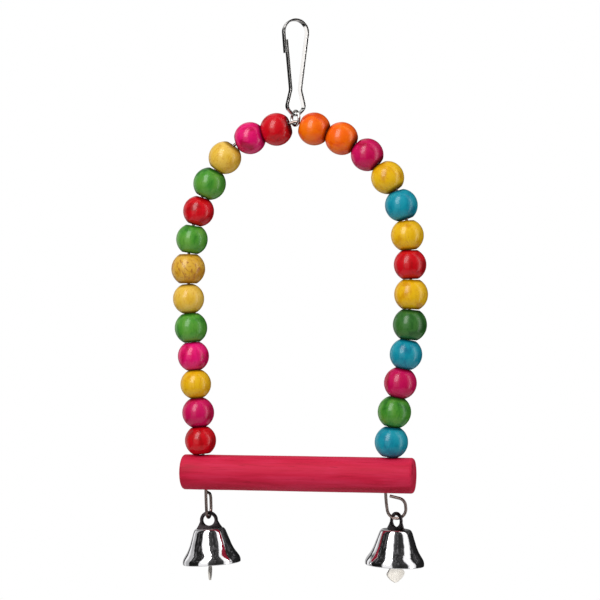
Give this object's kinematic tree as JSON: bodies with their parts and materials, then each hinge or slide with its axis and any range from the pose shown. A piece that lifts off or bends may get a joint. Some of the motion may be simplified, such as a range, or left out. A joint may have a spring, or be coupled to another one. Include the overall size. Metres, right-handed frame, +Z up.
{
  "type": "bird swing",
  "caption": "Hanging swing for a small cage bird: spring hook, ring, bent wire arch strung with coloured wooden beads, round wooden perch and hanging bells.",
  "frame": {"origin": "centre of the loop at the top of the spring hook, where the cage bar sits", "axes": "+X along the perch, to the right as seen from the front, +Z up, the front faces -Y"},
  "size_m": [0.1123, 0.0302, 0.2427],
  "materials": {
    "spring_strip": "bright nickel-plated spring steel strip",
    "ring_wire": "bright nickel-plated steel wire",
    "frame_wire": "zinc-plated steel wire",
    "perch_wood": "raspberry-dyed dowel, matt, fine lengthwise grain",
    "bead_red": "red-dyed wood under gloss lacquer",
    "bead_pink": "pink-dyed wood under gloss lacquer",
    "bead_yellow": "golden yellow-dyed wood under gloss lacquer",
    "bead_pale_yellow": "pale yellow-dyed wood under gloss lacquer",
    "bead_speckled": "yellow-dyed wood with fine brown mottling under gloss lacquer",
    "bead_green": "leaf green-dyed wood under gloss lacquer",
    "bead_dark_green": "dark green-dyed wood under gloss lacquer",
    "bead_teal": "blue-green-dyed wood under gloss lacquer",
    "bead_orange": "orange-dyed wood under gloss lacquer",
    "bell_shell": "bright nickel-plated pressed steel, slightly wavy",
    "bell_hanger": "bright nickel-plated steel plate",
    "bell_clapper": "plated steel leaf"
  },
  "bodies": {
    "hook": {"spring_hook": "spring_strip"},
    "gate": {"hook_gate": "spring_strip"},
    "ring": {"swivel_ring": "ring_wire"},
    "frame": {"frame_wire": "frame_wire", "perch": "perch_wood"},
    "bead_left_01": {"bead_left_01": "bead_red"},
    "bead_left_02": {"bead_left_02": "bead_pink"},
    "bead_left_03": {"bead_left_03": "bead_yellow"},
    "bead_left_04": {"bead_left_04": "bead_pink"},
    "bead_left_05": {"bead_left_05": "bead_green"},
    "bead_left_06": {"bead_left_06": "bead_pale_yellow"},
    "bead_left_07": {"bead_left_07": "bead_speckled"},
    "bead_left_08": {"bead_left_08": "bead_green"},
    "bead_left_09": {"bead_left_09": "bead_red"},
    "bead_left_10": {"bead_left_10": "bead_green"},
    "bead_left_11": {"bead_left_11": "bead_pale_yellow"},
    "bead_left_12": {"bead_left_12": "bead_pink"},
    "bead_left_13": {"bead_left_13": "bead_red"},
    "bead_right_01": {"bead_right_01": "bead_teal"},
    "bead_right_02": {"bead_right_02": "bead_green"},
    "bead_right_03": {"bead_right_03": "bead_pink"},
    "bead_right_04": {"bead_right_04": "bead_teal"},
    "bead_right_05": {"bead_right_05": "bead_dark_green"},
    "bead_right_06": {"bead_right_06": "bead_yellow"},
    "bead_right_07": {"bead_right_07": "bead_red"},
    "bead_right_08": {"bead_right_08": "bead_yellow"},
    "bead_right_09": {"bead_right_09": "bead_teal"},
    "bead_right_10": {"bead_right_10": "bead_yellow"},
    "bead_right_11": {"bead_right_11": "bead_pink"},
    "bead_right_12": {"bead_right_12": "bead_orange"},
    "bead_right_13": {"bead_right_13": "bead_orange"},
    "bell_left": {"bell_shell_left": "bell_shell", "bell_hanger_left": "bell_hanger"},
    "clapper_left": {"bell_clapper_left": "bell_clapper"},
    "bell_right": {"bell_shell_right": "bell_shell", "bell_hanger_right": "bell_hanger"},
    "clapper_right": {"bell_clapper_right": "bell_clapper"}
  },
  "joints": [
    {"name": "gate_flex", "type": "hinge", "parent": "hook", "child": "gate", "pos_m": [-0.00194, -0.00126, -0.023], "axis": [-0.5446, 0.8387, 0], "range_deg": [0, 12], "stiffness_Nm_per_rad": 0.3, "springref_deg": -1.72},
    {"name": "ring_sway", "type": "hinge", "parent": "hook", "child": "ring", "pos_m": [0, 0, -0.0353], "axis": [-0.5446, 0.8387, 0], "range_deg": [-20, 20]},
    {"name": "frame_swing", "type": "hinge", "parent": "ring", "child": "frame", "pos_m": [0, 0, -0.03853], "axis": [1, 0, 0], "range_deg": [-35, 35]},
    {"name": "bead_left_01_spin", "type": "hinge", "parent": "frame", "child": "bead_left_01", "pos_m": [-0.0421, 0, -0.1759], "axis": [0.0872, 0, -0.9962], "continuous": true},
    {"name": "bead_left_02_spin", "type": "hinge", "parent": "frame", "child": "bead_left_02", "pos_m": [-0.04315, 0, -0.16384], "axis": [0.0872, 0, -0.9962], "continuous": true},
    {"name": "bead_left_03_spin", "type": "hinge", "parent": "frame", "child": "bead_left_03", "pos_m": [-0.04424, 0, -0.15147], "axis": [0.0872, 0, -0.9962], "continuous": true},
    {"name": "bead_left_04_spin", "type": "hinge", "parent": "frame", "child": "bead_left_04", "pos_m": [-0.0453, 0, -0.13935], "axis": [0.0872, 0, -0.9962], "continuous": true},
    {"name": "bead_left_05_spin", "type": "hinge", "parent": "frame", "child": "bead_left_05", "pos_m": [-0.04637, 0, -0.12711], "axis": [0.0872, 0, -0.9962], "continuous": true},
    {"name": "bead_left_06_spin", "type": "hinge", "parent": "frame", "child": "bead_left_06", "pos_m": [-0.04747, 0, -0.1145], "axis": [0.0872, 0, -0.9962], "continuous": true},
    {"name": "bead_left_07_spin", "type": "hinge", "parent": "frame", "child": "bead_left_07", "pos_m": [-0.04759, 0, -0.10145], "axis": [-0.0065, 0, -1], "continuous": true},
    {"name": "bead_left_08_spin", "type": "hinge", "parent": "frame", "child": "bead_left_08", "pos_m": [-0.04594, 0, -0.08868], "axis": [-0.1616, 0, -0.9869], "continuous": true},
    {"name": "bead_left_09_spin", "type": "hinge", "parent": "frame", "child": "bead_left_09", "pos_m": [-0.04298, 0, -0.07648], "axis": [-0.3097, 0, -0.9508], "continuous": true},
    {"name": "bead_left_10_spin", "type": "hinge", "parent": "frame", "child": "bead_left_10", "pos_m": [-0.03805, 0, -0.0646], "axis": [-0.4539, 0, -0.8911], "continuous": true},
    {"name": "bead_left_11_spin", "type": "hinge", "parent": "frame", "child": "bead_left_11", "pos_m": [-0.03121, 0, -0.05345], "axis": [-0.5892, 0, -0.808], "continuous": true},
    {"name": "bead_left_12_spin", "type": "hinge", "parent": "frame", "child": "bead_left_12", "pos_m": [-0.02005, 0, -0.04516], "axis": [-0.9563, 0, -0.2924], "continuous": true},
    {"name": "bead_left_13_spin", "type": "hinge", "parent": "frame", "child": "bead_left_13", "pos_m": [-0.00841, 0, -0.0416], "axis": [-0.9563, 0, -0.2924], "continuous": true},
    {"name": "bead_right_01_spin", "type": "hinge", "parent": "frame", "child": "bead_right_01", "pos_m": [0.04171, 0, -0.17542], "axis": [-0.0872, 0, -0.9962], "continuous": true},
    {"name": "bead_right_02_spin", "type": "hinge", "parent": "frame", "child": "bead_right_02", "pos_m": [0.04303, 0, -0.16262], "axis": [-0.1677, 0, -0.9858], "continuous": true},
    {"name": "bead_right_03_spin", "type": "hinge", "parent": "frame", "child": "bead_right_03", "pos_m": [0.0456, 0, -0.15028], "axis": [-0.2079, 0, -0.9781], "continuous": true},
    {"name": "bead_right_04_spin", "type": "hinge", "parent": "frame", "child": "bead_right_04", "pos_m": [0.048, 0, -0.13808], "axis": [-0.1646, 0, -0.9864], "continuous": true},
    {"name": "bead_right_05_spin", "type": "hinge", "parent": "frame", "child": "bead_right_05", "pos_m": [0.04968, 0, -0.12549], "axis": [-0.1003, 0, -0.995], "continuous": true},
    {"name": "bead_right_06_spin", "type": "hinge", "parent": "frame", "child": "bead_right_06", "pos_m": [0.05019, 0, -0.11262], "axis": [-0.0346, 0, -0.9994], "continuous": true},
    {"name": "bead_right_07_spin", "type": "hinge", "parent": "frame", "child": "bead_right_07", "pos_m": [0.04976, 0, -0.09999], "axis": [0.0302, 0, -0.9995], "continuous": true},
    {"name": "bead_right_08_spin", "type": "hinge", "parent": "frame", "child": "bead_right_08", "pos_m": [0.04859, 0, -0.08755], "axis": [0.0943, 0, -0.9955], "continuous": true},
    {"name": "bead_right_09_spin", "type": "hinge", "parent": "frame", "child": "bead_right_09", "pos_m": [0.046, 0, -0.07474], "axis": [0.3234, 0, -0.9463], "continuous": true},
    {"name": "bead_right_10_spin", "type": "hinge", "parent": "frame", "child": "bead_right_10", "pos_m": [0.04009, 0, -0.06292], "axis": [0.5628, 0, -0.8266], "continuous": true},
    {"name": "bead_right_11_spin", "type": "hinge", "parent": "frame", "child": "bead_right_11", "pos_m": [0.03126, 0, -0.05309], "axis": [0.7618, 0, -0.6478], "continuous": true},
    {"name": "bead_right_12_spin", "type": "hinge", "parent": "frame", "child": "bead_right_12", "pos_m": [0.02018, 0, -0.04597], "axis": [0.9059, 0, -0.4235], "continuous": true},
    {"name": "bead_right_13_spin", "type": "hinge", "parent": "frame", "child": "bead_right_13", "pos_m": [0.00822, 0, -0.04169], "axis": [0.9511, 0, -0.309], "continuous": true},
    {"name": "bell_left_swing", "type": "hinge", "parent": "frame", "child": "bell_left", "pos_m": [-0.0397, 0.00499, -0.20972], "axis": [0, 1, 0], "range_deg": [-45, 45]},
    {"name": "clapper_left_swing", "type": "hinge", "parent": "bell_left", "child": "clapper_left", "pos_m": [-0.03907, 0.00499, -0.21875], "axis": [0.9903, 0.1392, 0], "range_deg": [-30, 30]},
    {"name": "bell_right_swing", "type": "hinge", "parent": "frame", "child": "bell_right", "pos_m": [0.04394, 0, -0.20783], "axis": [1, 0, 0], "range_deg": [-45, 45]},
    {"name": "clapper_right_swing", "type": "hinge", "parent": "bell_right", "child": "clapper_right", "pos_m": [0.04354, 0, -0.21687], "axis": [0.7547, -0.6561, 0], "range_deg": [-30, 30]}
  ]
}
